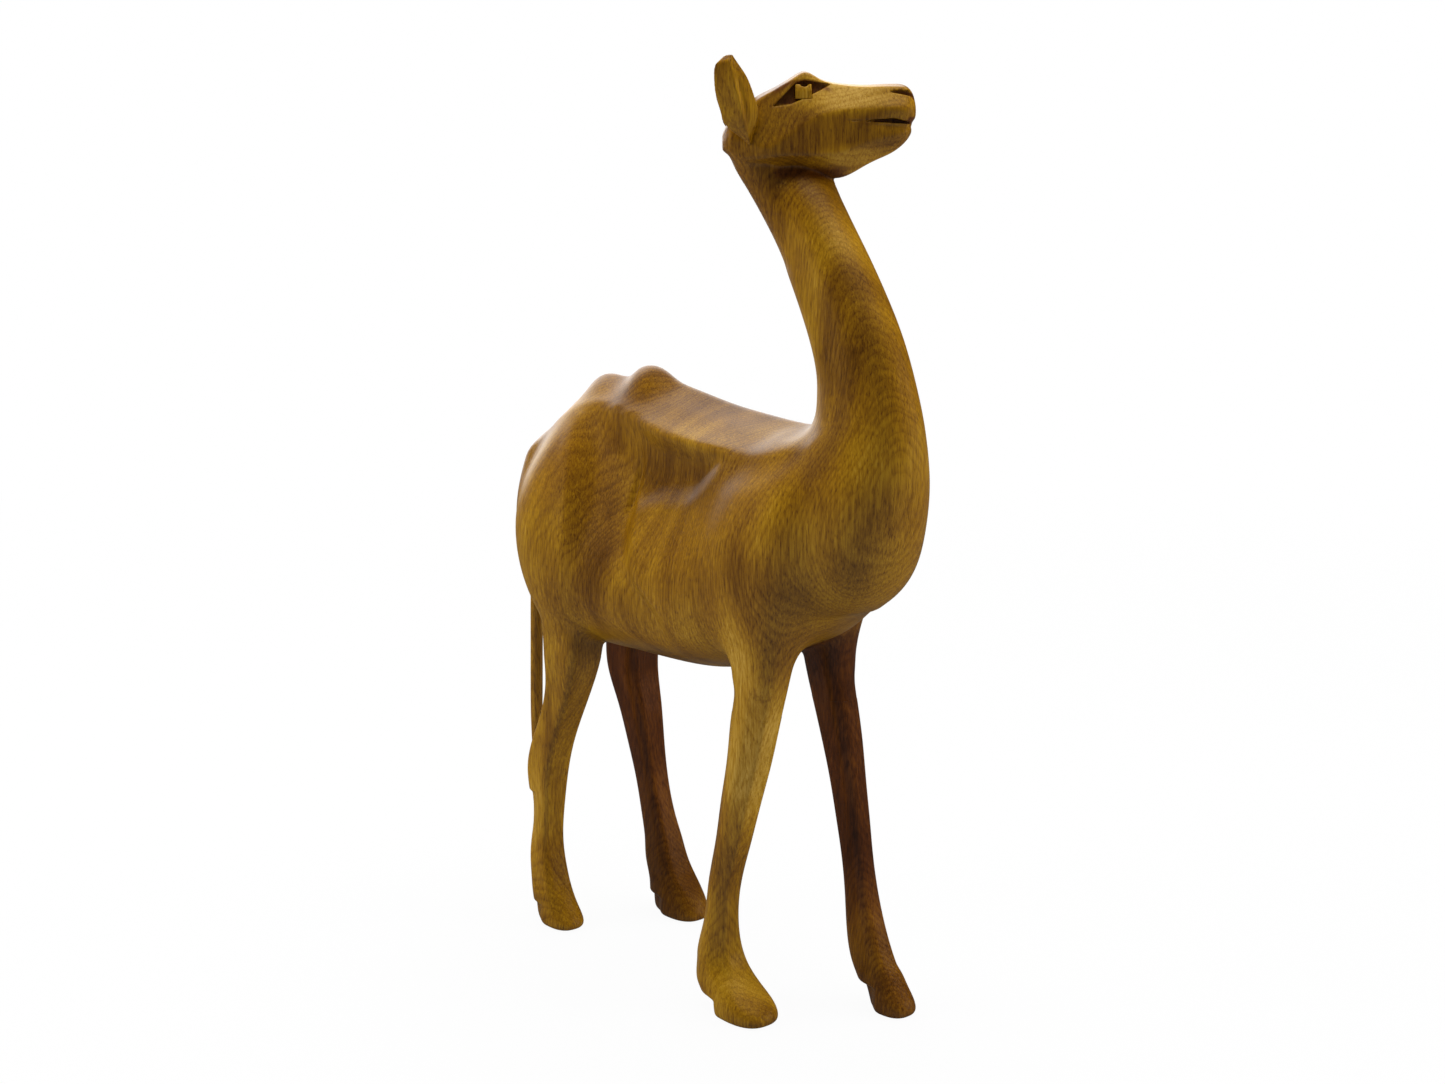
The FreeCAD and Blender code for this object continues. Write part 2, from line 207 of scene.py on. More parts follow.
# Tail centre line from its root: x, z, half thickness.
TAIL = [
    (-93, 150, 2.4),
    (-96.6, 148.3, 2.6),
    (-99.4, 142.5, 2.6),
    (-101.8, 132, 2.5),
    (-103.7, 114, 2.4),
    (-104.6, 94, 2.3),
    (-105.2, 76, 2.3),
    (-105.7, 62, 2.1),
    (-106, 51.5, 1.6),
]
# Head sections from nape to lips, in the head's own frame: distance forward of the pivot line, top z,
# then corners down each side as (sideways, z): brow, cheek ridge, jaw edge, keel.
HEAD = [
    (-22.2, 277, (2, 276.6), (3.2, 274.6), (2.8, 272.9), (1.2, 272.3)),
    (-20, 281.5, (4.6, 280.4), (7, 275.6), (6.2, 271.8), (3.6, 270.6)),
    (-18, 283.4, (5.4, 282), (8.2, 275.4), (7.4, 270.6), (4.6, 268.6)),
    (-15.6, 285.4, (6.2, 283.8), (9.6, 275), (8.8, 269.9), (5.6, 267.2)),
    (-12, 288.2, (6.6, 286.8), (11.2, 273.8), (10.6, 269.9), (7, 267.4)),
    (-8, 290.2, (6.6, 289.1), (12.5, 273.2), (12.1, 270.2), (7.6, 267.6)),
    (-5.2, 291.6, (6.6, 290.7), (12.9, 274.8), (12.6, 270.5), (7.5, 267.6)),
    (-0.3, 294.6, (6.5, 293.7), (12.6, 278.1), (12.3, 270.6), (7, 267.6)),
    (1.9, 295.6, (6.3, 294.9), (12.2, 279.6), (12, 270.7), (6.8, 267)),
    (6.2, 293.7, (6.1, 293.1), (11.4, 281.9), (11.4, 270.8), (6.2, 265.6)),
    (10.2, 292.4, (5.7, 291.7), (10.7, 283.2), (10.8, 271), (5.6, 264.2)),
    (14, 291.9, (5.4, 291.1), (10, 283.8), (10, 271.8), (5.2, 264.4)),
    (21, 291.6, (5, 290.7), (8.9, 284.1), (8.9, 274.4), (4.6, 268)),
    (28, 291.9, (4.9, 290.8), (8.1, 284.2), (8, 276), (4.2, 271.2)),
    (34, 291.8, (4.6, 290.5), (7.4, 284), (7.2, 277), (3.9, 273.8)),
    (40, 291.5, (4.4, 290.1), (7, 284), (6.8, 277.8), (3.8, 275.6)),
]
MUZZLE_END = 35.8           # forward distance of the muzzle's face
# Ear sections from root to tip, head frame: z, middle, half length, ridge (all forward), the ear's
# middle sideways, and how far the ridge stands out of it.
EAR = [
    (273.8, -14, 0.4, -14, 10.4, 0.7),
    (276.5, -15.3, 2.4, -14.6, 10.5, 1.9),
    (279.3, -16.6, 4.6, -15.3, 10.7, 2.7),
    (283.3, -17, 5.7, -16.4, 11, 3.1),
    (287.4, -18.2, 5.8, -17.5, 11.3, 3.1),
    (291.5, -19.3, 5.4, -18.6, 11.8, 2.8),
    (294.4, -20.1, 4.7, -19.3, 12.1, 2.4),
    (297, -20.8, 3.5, -20, 12.4, 1.9),
    (299.6, -20.8, 1.7, -20.6, 12.6, 1.2),
]
EAR_TENON_ROOT = (-17.0, 9.6, 281.5)
EAR_TENON_AIM = (0.45, -0.80, -0.40)
TAIL_TENON_START = (-95.5, 0.0, 148.7)
TAIL_TENON_AIM = (1.0, 0.0, 0.35)

# Eye hollow outline on the side of the head, head frame (forward, z), counter-clockwise.
EYE_HOLLOW = [(-7.2, 284.9), (-1.8, 285.6), (4.6, 288.5), (10.0, 291.4), (2.0, 292.5), (-0.4, 291.8)]
EYE_CENTRE = (1.8, 289.2)
EYE_BLOCK = (4.7, 4.2)      # length and height
EYE_FACE = 9.4             # sideways distance of the block's face
EYE_SEAT = 5.2              # sideways distance of its seat

# Edge of the back facet along the side, (x, z), and the lower edge of the flank hollow below it.
BACK_EDGE = [(-33.0, 193.5), (-25.0, 187.3), (-14.0, 182.7), (2.0, 181.0), (18.0, 180.8),
             (36.0, 181.4), (50.0, 184.0), (57.0, 187.8), (62.0, 192.0)]
HOLLOW_FLOOR = [(-34.0, 157.0), (-23.0, 156.5), (-6.5, 162.0), (16.0, 167.5), (24.5, 175.6)]
# Ridge down the haunch, (z, x), and the crease where its flat face meets the belly and the hollow.
HAUNCH_RIDGE = [(90.0, -60.0), (103.0, -57.0), (112.0, -52.5), (122.0, -49.2), (136.0, -48.4),
                (150.0, -48.8), (166.0, -53.0), (178.0, -57.5)]
HAUNCH_CREASE = [(110.0, 2.0), (122.0, -1.0), (129.0, -7.0), (134.5, -14.8), (140.5, -19.0), (147.0, -21.7),
                 (156.7, -23.1), (167.0, -22.2), (178.0, -22.0)]


# ---------------------------------------------------------------- curves and skins
def natural_spline(knots, values, where):
    """Natural cubic spline through rows of values, read at where."""
    knots = np.asarray(knots, float)
    values = np.asarray(values, float).reshape(len(knots), -1)
    count = len(knots)
    gap = np.diff(knots)
    system = np.eye(count)
    right = np.zeros_like(values)
    for i in range(1, count - 1):
        system[i, i - 1:i + 2] = gap[i - 1], 2 * (gap[i - 1] + gap[i]), gap[i]
        right[i] = 6 * ((values[i + 1] - values[i]) / gap[i] - (values[i] - values[i - 1]) / gap[i - 1])
    bend = np.linalg.solve(system, right)
    where = np.asarray(where, float)
    k = np.clip(np.searchsorted(knots, where) - 1, 0, count - 2)
    h = gap[k][:, None]
    a = (knots[k + 1] - where)[:, None] / h
    b = 1 - a
    return (a * values[k] + b * values[k + 1]
            + ((a ** 3 - a) * bend[k] + (b ** 3 - b) * bend[k + 1]) * h ** 2 / 6)


def lengths_along(points):
    steps = np.linalg.norm(np.diff(points, axis=0), axis=1)
    return np.concatenate([[0.0], np.cumsum(steps)])


def densify(positions, rows):
    """Rows carried by positions along a path, splined to RINGS_PER_MM."""
    positions = np.asarray(positions, float)
    along = lengths_along(positions)
    where = np.linspace(0.0, along[-1], max(int(along[-1] * RINGS_PER_MM), 4))
    return natural_spline(along, positions, where), natural_spline(along, rows, where)


def even_spread(points, count):
    """Points spread evenly along a polyline."""
    points = np.asarray(points, float)
    along = lengths_along(points)
    where = np.linspace(0.0, along[-1], count)
    return np.column_stack([np.interp(where, along, points[:, i]) for i in range(points.shape[1])])


def smooth_curve(points, count):
    points = np.asarray(points, float)
    along = lengths_along(points)
    return natural_spline(along, points, np.linspace(0.0, along[-1], count))


def oval_rings(centres, u_axes, v_axes, half_u, half_v, squareness):
    angle = np.linspace(0.0, 2 * math.pi, RING_POINTS, endpoint=False)
    cosine, sine = np.cos(angle), np.sin(angle)
    u = np.sign(cosine) * np.abs(cosine) ** (2.0 / squareness)
    v = np.sign(sine) * np.abs(sine) ** (2.0 / squareness)
    return (centres[:, None, :]
            + u_axes[:, None, :] * (half_u[:, None] * u)[..., None]
            + v_axes[:, None, :] * (half_v[:, None] * v)[..., None])


def skin(rings):
    """Closed triangle mesh over a stack of rings, with a fan at each end."""
    count, around, _ = rings.shape
    points = np.concatenate([rings.reshape(-1, 3), rings[:1].mean(1), rings[-1:].mean(1)])
    i = np.arange(count - 1)[:, None] * around
    j = np.arange(around)[None, :]
    following = (j + 1) % around
    a, b, c, d = i + j, i + following, i + around + following, i + around + j
    sides = np.concatenate([np.stack([a, b, c], -1).reshape(-1, 3), np.stack([a, c, d], -1).reshape(-1, 3)])
    j = j[0]
    following = following[0]
    last = (count - 1) * around
    low_cap = np.stack([np.full(around, count * around), following, j], -1)
    high_cap = np.stack([np.full(around, count * around + 1), last + j, last + following], -1)
    return points, np.concatenate([sides, low_cap, high_cap])


# ---------------------------------------------------------------- distance fields
class Block:
    """A box of voxels in which part of the figure is sculpted."""

    def __init__(self, low, high, voxel, band):
        self.low = np.array(low, float)
        self.voxel = voxel
        self.band = band
        self.shape = tuple(int(n) for n in np.ceil((np.array(high) - self.low) / voxel) + 1)
        self.field = np.full(self.shape, band, np.float32)
        self.x, self.y, self.z = [
            np.arange(n, dtype=np.float32).reshape([-1 if axis == other else 1 for other in range(3)]) * voxel
            + np.float32(self.low[axis]) for axis, n in enumerate(self.shape)]

    def distance(self, mesh):
        """Signed distance to a closed mesh, negative inside, known to the block's band."""
        points, triangles = mesh
        grid = openvdb.FloatGrid.createLevelSetFromPolygons(
            ((points - self.low) / self.voxel).astype(np.float32),
            triangles=triangles.astype(np.uint32), halfWidth=self.band / self.voxel)
        field = np.empty(self.shape, np.float32)
        grid.copyToArray(field)
        return field * self.voxel

    def head_axes(self):
        """Forward, sideways distance from the head's middle, and z."""
        x = self.x - HEAD_PIVOT_X
        return x * TURN_COS + self.y * TURN_SIN, np.abs(self.y * TURN_COS - x * TURN_SIN), self.z

    def join(self, other, blend):
        """Smooth union with another field."""
        self.field = smooth_least(self.field, other, blend)

    def cut(self, other, blend):
        """Smooth subtraction of another field."""
        self.field = -smooth_least(-self.field, other, blend)

    def keep(self, other, blend):
        """Smooth intersection with another field."""
        self.field = -smooth_least(-self.field, -other, blend)

    def press(self, depth):
        """Push the surface in by a depth that changes from place to place."""
        self.field = self.field + depth.astype(np.float32)

    def soften(self, passes):
        """Sanding: a small blur along each axis."""
        for _ in range(passes):
            for axis in range(3):
                field = np.moveaxis(self.field, axis, 0)
                field[1:-1] = 0.25 * field[:-2] + 0.5 * field[1:-1] + 0.25 * field[2:]

    def twin(self):
        """Another field on the same voxels."""
        other = Block.__new__(Block)
        other.__dict__.update(self.__dict__)
        return other

    def surface(self):
        """Quads of the zero surface, points in millimetres."""
        grid = openvdb.FloatGrid(self.band)
        grid.copyFromArray(np.ascontiguousarray(self.field, np.float32))
        points, quads = grid.convertToQuads(0.0)
        return points.astype(float) * self.voxel + self.low, quads


def smooth_least(a, b, blend):
    """The lesser of two fields, rounded over a blend that may change from place to place."""
    if np.isscalar(blend) and blend <= 0:
        return np.minimum(a, b)
    mix = np.clip(0.5 + 0.5 * (b - a) / blend, 0, 1)
    return b + (a - b) * mix - blend * mix * (1 - mix)


def bump(block, centre, spread):
    """A bell of height one round centre, with its own spread along each axis."""
    total = 0.0
    for values, middle, width in zip((block.x, block.y, block.z), centre, spread):
        total = total + ((values - middle) / width) ** 2
    return np.exp(-total)


def ramp(values, start, end):
    """Smooth step from zero at start to one at end; start may be the larger."""
    t = np.clip((values - start) / (end - start), 0, 1)
    return t * t * (3 - 2 * t)


def curve_value(points, where):
    """A function given by points (input, output), splined, read over an array."""
    points = np.asarray(points, float)
    inside = np.clip(where, points[0, 0], points[-1, 0])
    return natural_spline(points[:, 0], points[:, 1], inside.ravel())[:, 0].reshape(inside.shape)


def rod(block, start, aim, radius, back, length):
    """Distance to a round rod that runs from a little behind start along aim."""
    aim = np.array(aim, float) / np.linalg.norm(aim)
    along = (block.x - start[0]) * aim[0] + (block.y - start[1]) * aim[1] + (block.z - start[2]) * aim[2]
    square = ((block.x - start[0]) ** 2 + (block.y - start[1]) ** 2 + (block.z - start[2]) ** 2) - along ** 2
    radial = np.sqrt(np.maximum(square, 0)) - radius
    return np.maximum(radial, np.maximum(along - length, -along - back))


def prism(forward, z, outline):
    """Distance to a convex outline in the head's side view, corners counter-clockwise."""
    inside = -1e9
    for (s0, z0), (s1, z1) in zip(outline, outline[1:] + outline[:1]):
        length = math.hypot(s1 - s0, z1 - z0)
        inside = np.maximum(inside, ((forward - s0) * (z1 - z0) - (z - z0) * (s1 - s0)) / length)
    return inside


def to_statue(points):
    """Points or directions of the head's own frame turned into the statue's, without the shift."""
    x, y, z = np.moveaxis(np.asarray(points, float), -1, 0)
    return np.stack([x * TURN_COS - y * TURN_SIN, x * TURN_SIN + y * TURN_COS, z], -1)


def head_point(points):
    return to_statue(points) + [HEAD_PIVOT_X, 0.0, 0.0]


# ---------------------------------------------------------------- smooth forms
def trunk_mesh():
    rows = []
    for x, spine, belly, *side in TRUNK:
        rows.append([spine, belly] + [number for point in side for number in point])
    places, rows = densify([(station[0], 0.0, 0.0) for station in TRUNK], rows)
    rings = []
    for x, row in zip(places[:, 0], rows):
        spine, belly = row[:2]
        (ry, rz), (fy, fz), (wy, wz), (uy, uz) = row[2:].reshape(4, 2)
        back = [(0.0, spine), (ry * 0.5, spine + (rz - spine) * 0.45), (ry, rz)]
        flank = [(ry, rz), (fy, fz), (wy, wz), (uy, uz), (0.0, belly), (-uy, uz)]
        lower = smooth_curve(flank, RING_POINTS // 2)
        half = np.concatenate([even_spread(back, RING_POINTS // 8)[:-1], lower[lower[:, 0] >= 0]])
        half = even_spread(half, RING_POINTS // 2 + 1)
        full = np.concatenate([half, half[-2:0:-1] * [-1, 1]])
        rings.append(np.column_stack([np.full(len(full), x), full]))
    return skin(np.array(rings))


def middle_plane_tube(stations, squareness):
    """A tube whose centre line lies in the XZ plane: x, z, half depth, half width per station."""
    stations = np.asarray(stations, float)
    line = np.column_stack([stations[:, 0], 0 * stations[:, 0], stations[:, 1]])
    places, rows = densify(line, stations[:, 2:])
    along = np.gradient(places, axis=0)
    along /= np.linalg.norm(along, axis=1)[:, None]
    across = np.column_stack([along[:, 2], 0 * along[:, 0], -along[:, 0]])
    sideways = np.tile([0.0, 1.0, 0.0], (len(places), 1))
    return skin(oval_rings(places, across, sideways, rows[:, 0], rows[:, 1], squareness))


def upright_tube(stations, squareness):
    """A tube of level sections: x, y, z, half length, half width per station."""
    stations = np.asarray(stations, float)
    places, rows = densify(stations[:, :3], stations[:, 3:])
    forward = np.tile([1.0, 0.0, 0.0], (len(places), 1))
    sideways = np.tile([0.0, 1.0, 0.0], (len(places), 1))
    return skin(oval_rings(places, forward, sideways, rows[:, 0], rows[:, 1], squareness))


def head_mesh():
    """The head's planes: every section is a polygon, so its corners run on as carved edges."""
    rows = [[top] + [number for corner in corners for number in corner] for _, top, *corners in HEAD]
    places, rows = densify([(station[0], 0.0, 0.0) for station in HEAD], rows)
    rings = []
    for forward, row in zip(places[:, 0], rows):
        side = [(0.0, row[0])] + [tuple(corner) for corner in row[1:].reshape(4, 2)] + [(0.0, row[8])]
        half = [even_spread(edge, 10)[:-1] for edge in zip(side[:-1], side[1:])]
        half = np.concatenate(half + [[side[-1]]])
        full = np.concatenate([half, half[-2:0:-1] * [-1, 1]])
        rings.append(np.column_stack([np.full(len(full), forward), full]))
    return turned(skin(np.array(rings)))


def ear_mesh(side):
    """A leaf with a ridge down its outer face."""
    stations = np.asarray(EAR, float)
    places, rows = densify(np.column_stack([0 * stations[:, :2], stations[:, 0]]), stations[:, 1:])
    rings = []
    for z, (middle, half, ridge, sideways, stand) in zip(places[:, 2], rows):
        corners = [(middle - half, sideways), (ridge, sideways + stand), (middle + half, sideways),
                   (middle + 0.3 * half, sideways - 0.8 * stand),
                   (middle - 0.5 * half, sideways - 0.8 * stand)]
        ring = np.concatenate([even_spread(edge, 9)[:-1] for edge in zip(corners, corners[1:] + corners[:1])])
        rings.append(np.column_stack([ring * [1, side], np.full(len(ring), z)]))
    return turned(skin(np.array(rings)))


def turned(mesh):
    """A mesh moved from the head's own frame to the statue's."""
    points, faces = mesh
    return head_point(points), faces


# ---------------------------------------------------------------- carving
def facet(block, path, azimuth, share):
    """Distance past an upright flat that follows a path of (x, y, z, half length, half width).

    The flat faces azimuth degrees and stands at a share of the section's reach that way."""
    path = np.asarray(sorted(path, key=lambda station: station[2]), float)
    z = np.clip(block.z.ravel(), path[0, 2], path[-1, 2])
    x, y, half_length, half_width = natural_spline(path[:, 2], path[:, [0, 1, 3, 4]], z).T
    cosine, sine = math.cos(math.radians(azimuth)), math.sin(math.radians(azimuth))
    reach = share * np.hypot(half_length * cosine, half_width * sine)
    shape = (1, 1, -1)
    return ((block.x - x.reshape(shape)) * cosine + (block.y - y.reshape(shape)) * sine
            - reach.reshape(shape)).astype(np.float32)


NECK_FACETS = [(-112.0, 0.90), (112.0, 0.90)]       # flats of the nape: azimuth, share of the reach
LEG_FACETS = {
    "front": [(-124.0, 0.90), (-58.0, 0.95), (0.0, 0.96), (90.0, 0.94)],
    "rear": [(-92.0, 0.87), (-4.0, 0.87), (90.0, 0.94)],
}
# Heel notch: height of its ledge, and how far the heel is set in under it.
HEEL = {
    "front_right": (5.6, 2.3),
    "front_left": (8.2, 1.8),
    "rear_right": (7.4, 1.0),
    "rear_left": (6.6, 1.5),
}
HOCK_NOTCH = (46.5, 0.9)    # the same at the back of the near hock
# Fillet between the body and each leg.
LEG_FILLET = {"front_right": 9.0, "front_left": 3.0, "rear_right": 9.0, "rear_left": 9.0}


def carve_neck(block):
    """The neck with the two flats of the nape, and the throat drawn in under the jaw."""
    neck = block.twin()
    neck.field = block.distance(middle_plane_tube(NECK, 2.2))
    level = [(x, 0.0, z, half_depth * 1.22, half_width) for x, z, half_depth, half_width in NECK[5:]]
    fade = 20.0 * ramp(block.z, 240.0, 216.0)
    for azimuth, share in NECK_FACETS:
        neck.keep(facet(block, level, azimuth, share) - fade, 0.8)
    forward, aside, z = block.head_axes()
    neck.join(block.distance(turned(upright_tube(NAPE, 2.2))), 4.0)
    throat = np.exp(-((z - 267.0) / 6.5) ** 2) * ramp(forward, -9.0, -3.0) * ramp(aside, 3.0, 8.0)
    neck.press(1.9 * throat)
    return neck.field


def carve_flank(block):
    """Back edge, the hollow under it, and the turn of the haunch into the flank, on both sides."""
    aside = np.abs(block.y)
    edge = curve_value(BACK_EDGE, block.x)
    floor = curve_value(HOLLOW_FLOOR, block.x)
    past_crease = block.x - curve_value(HAUNCH_CREASE, block.z)
    hollow = (2.2 * ramp(edge - block.z, -2.5, 6.0) * ramp(block.z - floor, -3.5, 6.0)
              * ramp(past_crease, -6.0, 5.0) * ramp(block.x - 0.85 * (block.z - 172.0), 26.0, 15.0))
    # the haunch's flat face slopes in from its ridge and runs out into the hollow or the belly
    past_ridge = block.x - curve_value(HAUNCH_RIDGE, block.z)
    reach = past_ridge - past_crease
    here = ramp(block.z, 108.0, 130.0) * ramp(block.z, 190.0, 172.0) * ramp(aside, 6.0, 14.0)
    face = 2.6 * np.clip(past_ridge / reach, 0, 1) * ramp(past_crease, 9.0, -1.0) * here
    hollow = hollow * ramp(aside, 4.0, 10.0)
    block.press(np.maximum(hollow, face))
    block.press(-0.55 * np.exp(-(past_ridge / 4.5) ** 2) * here)
    notch = np.exp(-(past_crease / 1.8) ** 2) * ramp(block.z, 153.0, 158.0) * ramp(block.z, 177.0, 168.0)
    block.press(1.3 * notch * ramp(aside, 6.0, 12.0))
    under_shoulder_edge = ramp(edge - block.z, -2.0, 4.0) * ramp(edge - block.z, 13.0, 5.0)
    block.press(0.7 * under_shoulder_edge * ramp(block.x, 14.0, 30.0) * ramp(block.x, 66.0, 52.0))


def carve_belly(block):
    """Lower edge of the belly, where the side turns under."""
    aside = np.abs(block.y)
    line = curve_value([(-50.0, 128.0), (-25.0, 119.0), (0.0, 115.0), (25.0, 117.0), (40.0, 122.0)], block.x)
    under = ramp(line - block.z, -0.5, 6.0) * ramp(block.z, LEG_JOINT_Z + 1.0, LEG_JOINT_Z + 6.0)
    under = under * ramp(block.x, -48.0, -30.0) * ramp(block.x, 28.0, 12.0)
    block.press(0.8 * under * ramp(aside, 3.0, 12.0))


def carve_body(block):
    block.field = block.distance(trunk_mesh())
    block.join(carve_neck(block), 9.0)
    # the fillet round each leg dies out at the joint, so that the leg below runs on from it
    rise = ramp(block.z, LEG_JOINT_Z + 1.0, LEG_JOINT_Z + 20.0)
    for place in LEG_SECTIONS:
        leg = block.twin()
        leg_form(leg, place)
        block.join(leg.field, 0.1 + LEG_FILLET[place] * rise)
    block.soften(2)
    block.press(3.0 * bump(block, (75.0, 0.0, 131.0), (15.0, 28.0, 13.0)))
    # the two bumps over the hips, on the spine
    block.press(-5.4 * bump(block, (-33.0, -1.5, 198.0), (9.5, 8.0, 9.0)))
    block.press(-3.6 * bump(block, (-58.0, 0.0, 194.5), (11.0, 8.5, 9.0)))
    carve_flank(block)
    carve_belly(block)
    block.soften(1)
    block.join(block.distance(head_mesh()), HEAD_BLEND)


def leg_form(block, place):
    """A leg with its flats, which fade out into the body above the joint and into the hoof below."""
    stations = LEG_SECTIONS[place]
    end, side = place.split("_")
    mirror = 1 if side == "right" else -1
    below_ground = (*stations[-1][:2], -8.0, *stations[-1][3:])
    block.field = block.distance(upright_tube(stations + [below_ground], 2.5))
    fade = 6.0 * ramp(block.z, 104.0, 128.0) + 3.0 * ramp(block.z, 15.0, 5.0)
    for azimuth, share in LEG_FACETS[end]:
        block.keep(facet(block, stations, azimuth * mirror, share) - fade, 0.6)


def carve_leg(block, place):
    leg_form(block, place)
    block.soften(2)
    middle = np.mean([x for x, _, z, _, _ in LEG_SECTIONS[place] if z < 14.0])
    ledge, depth = HEEL[place]
    behind = ramp(block.x, middle + 1.0, middle - 4.0)
    block.press(depth * behind * ramp(block.z, ledge + 0.5, ledge - 0.3))
    if place == "rear_right":
        ledge, depth = HOCK_NOTCH
        behind = ramp(block.x, -72.0, -76.0)
        block.press(depth * behind * ramp(block.z, ledge + 0.6, ledge - 0.4) * ramp(block.z, 20.0, 36.0))
    # sole: flat, with a softened rim
    block.keep(-block.z, 2.2)
    block.soften(1)


def carve_head(block):
    """Head form with its planes, eye hollows, mouth, nostrils and the bores of the ears."""
    block.field = block.distance(head_mesh())
    forward, aside, z = block.head_axes()
    # muzzle face, rounded, with the notch between the lips
    lips = np.exp(-((z - 280.2) / 0.9) ** 2)
    face = forward - MUZZLE_END + 0.03 * aside ** 2 + 0.035 * (z - 283.5) ** 2 + 1.0 * lips
    block.keep(face.astype(np.float32), 3.0)
    lobe = np.exp(-((forward - 29.5) / 4.5) ** 2 - ((z - 284.6) / 2.6) ** 2)
    block.press(-0.9 * lobe * ramp(aside, 2.0, 5.0))
    block.soften(6)
    hollow = prism(forward, z, EYE_HOLLOW)
    floor = 7.0 - 0.33 * (z - 285.0)
    block.cut(np.maximum(hollow, floor - aside).astype(np.float32), 0.5)
    seat = prism(forward, z, eye_outline(BORE_ROOM))
    block.cut(np.maximum(seat, EYE_SEAT - aside).astype(np.float32), 0.0)
    carve_mouth(block, forward, aside, z)
    block.join(carve_neck(block), HEAD_BLEND)
    for side in (1, -1):
        start = head_point(np.array(EAR_TENON_ROOT) * [1, side, 1])
        aim = to_statue(np.array(EAR_TENON_AIM) * [1, side, 1])
        block.cut(rod(block, start, aim, EAR_TENON[0] + BORE_ROOM, 6.0, EAR_TENON[1] + BORE_END_ROOM), 0.0)


def carve_mouth(block, forward, aside, z):
    """The arched slit of the mouth and the nostril's undercut."""
    upper = curve_value([(19.5, 280.9), (22.0, 281.1), (26.0, 281.4),
                         (28.8, 281.5), (32.0, 280.8), (37.0, 280.2)], forward)
    lower = 280.6 - 0.05 * (forward - 20.0)
    slit = np.maximum(z - upper, lower - z)
    depth = curve_value([(19.5, 0.0), (22.0, 1.4), (27.0, 2.6), (33.0, 2.2), (37.0, 1.8)], forward)
    surface = curve_value([(20.0, 9.1), (28.0, 8.0), (34.0, 7.0), (37.0, 6.0)], forward)
    block.cut(np.maximum(slit, surface - depth - aside).astype(np.float32), 0.25)
    # the lower lip stands a little behind the upper one
    below = ramp(lower - z, 0.0, 0.8) * ramp(z, 277.0, 279.5) * ramp(forward, 21.0, 27.0)
    block.press(0.45 * below)
    nostril_top = curve_value([(27.0, 289.3), (31.0, 289.7), (36.0, 289.5)], forward)
    nostril_low = curve_value([(27.0, 289.2), (31.0, 288.5), (36.0, 287.4)], forward)
    nostril = np.maximum(np.maximum(z - nostril_top, nostril_low - z), 27.6 - forward)
    floor = curve_value([(27.0, 5.4), (29.0, 4.0), (31.0, 3.2), (36.0, 1.8)], forward)
    block.cut(np.maximum(nostril, floor - aside).astype(np.float32), 0.2)


def eye_outline(room):
    """Side view of the carved eye block."""
    (s, z), (length, height) = EYE_CENTRE, EYE_BLOCK
    half, rise = length / 2 + room, height / 2 + room
    return [(s - half, z - rise), (s + half, z - rise), (s + half, z + rise), (s - half, z + rise)]


def carve_eye(block):
    """The eye: a small block with a notched top and a bevelled face, let into the hollow."""
    forward, aside, z = block.head_axes()
    s, middle = EYE_CENTRE
    box = prism(forward, z, eye_outline(0.0))
    block.field = np.maximum(box, np.maximum(EYE_SEAT - aside, aside - EYE_FACE + 0.3)).astype(np.float32)
    bevel = aside - EYE_FACE + 0.35 + 0.45 * (z - middle - 0.6)
    block.keep(bevel.astype(np.float32), 0.4)
    notch = np.hypot(forward - s - 0.2, (z - middle - EYE_BLOCK[1] / 2 - 0.5) * 1.2) - 1.45
    block.cut(notch.astype(np.float32), 0.25)
    groove = np.hypot(forward - s - 1.2, aside - EYE_FACE + 0.2) - 0.3
    block.cut(groove.astype(np.float32), 0.15)
    block.soften(2)


def carve_ear(block, side):
    block.field = block.distance(ear_mesh(side))
    forward, aside, z = block.head_axes()
    # flat cut across the tip, and the groove down the front of the leaf
    tip = ((forward + 22.4) * -0.42 + (aside - 13.0) * 0.62 + (z - 297.6) * 0.66)
    block.keep(tip.astype(np.float32), 0.4)
    along = (z - 280.0) / 13.0
    line = -14.9 - 2.0 * along - 0.8 * along ** 2
    groove = np.exp(-((forward - line) / 0.75) ** 2) * ramp(z, 276.0, 280.0) * ramp(z, 295.0, 290.0)
    block.press(0.4 * groove * ramp(aside, 9.0, 11.0))
    block.soften(1)
    head = block.twin()
    carve_head(head)
    block.cut(head.field, 0.0)
    start = head_point(np.array(EAR_TENON_ROOT) * [1, side, 1])
    aim = to_statue(np.array(EAR_TENON_AIM) * [1, side, 1])
    block.join(rod(block, start, aim, EAR_TENON[0], 1.0, EAR_TENON[1]), 0.0)


def carve_tail(block, torso_field):
    block.field = block.distance(middle_plane_tube([(x, z, radius, radius) for x, z, radius in TAIL], 2.0))
    block.soften(1)
    block.cut(torso_field, 0.0)
    block.join(rod(block, TAIL_TENON_START, TAIL_TENON_AIM, TAIL_TENON[0], 0.5, TAIL_TENON[1]), 0.0)


# ---------------------------------------------------------------- pieces
def block_round(points, margin, voxel, band):
    """A block that holds some points with a margin."""
    points = np.asarray(points, float)
    return Block(points.min(0) - margin, points.max(0) + margin, voxel, band)


def dowel_bore(block, node, size, joint_z):
    """Take the bore of an upright dowel out of a block, where the CAD node says it stands."""
    low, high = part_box(node)
    centre = (np.array(low[:2]) + np.array(high[:2])) / 2 / MM - SHIFT[:2]
    radius, half = size
    start = (centre[0], centre[1], joint_z)
    room = half + BORE_END_ROOM
    block.cut(rod(block, start, (0, 0, 1), radius + BORE_ROOM, room, room), 0.0)


def add_object(name, data):
    made = bpy.data.objects.new(name, data)
    bpy.context.collection.objects.link(made)
    return made


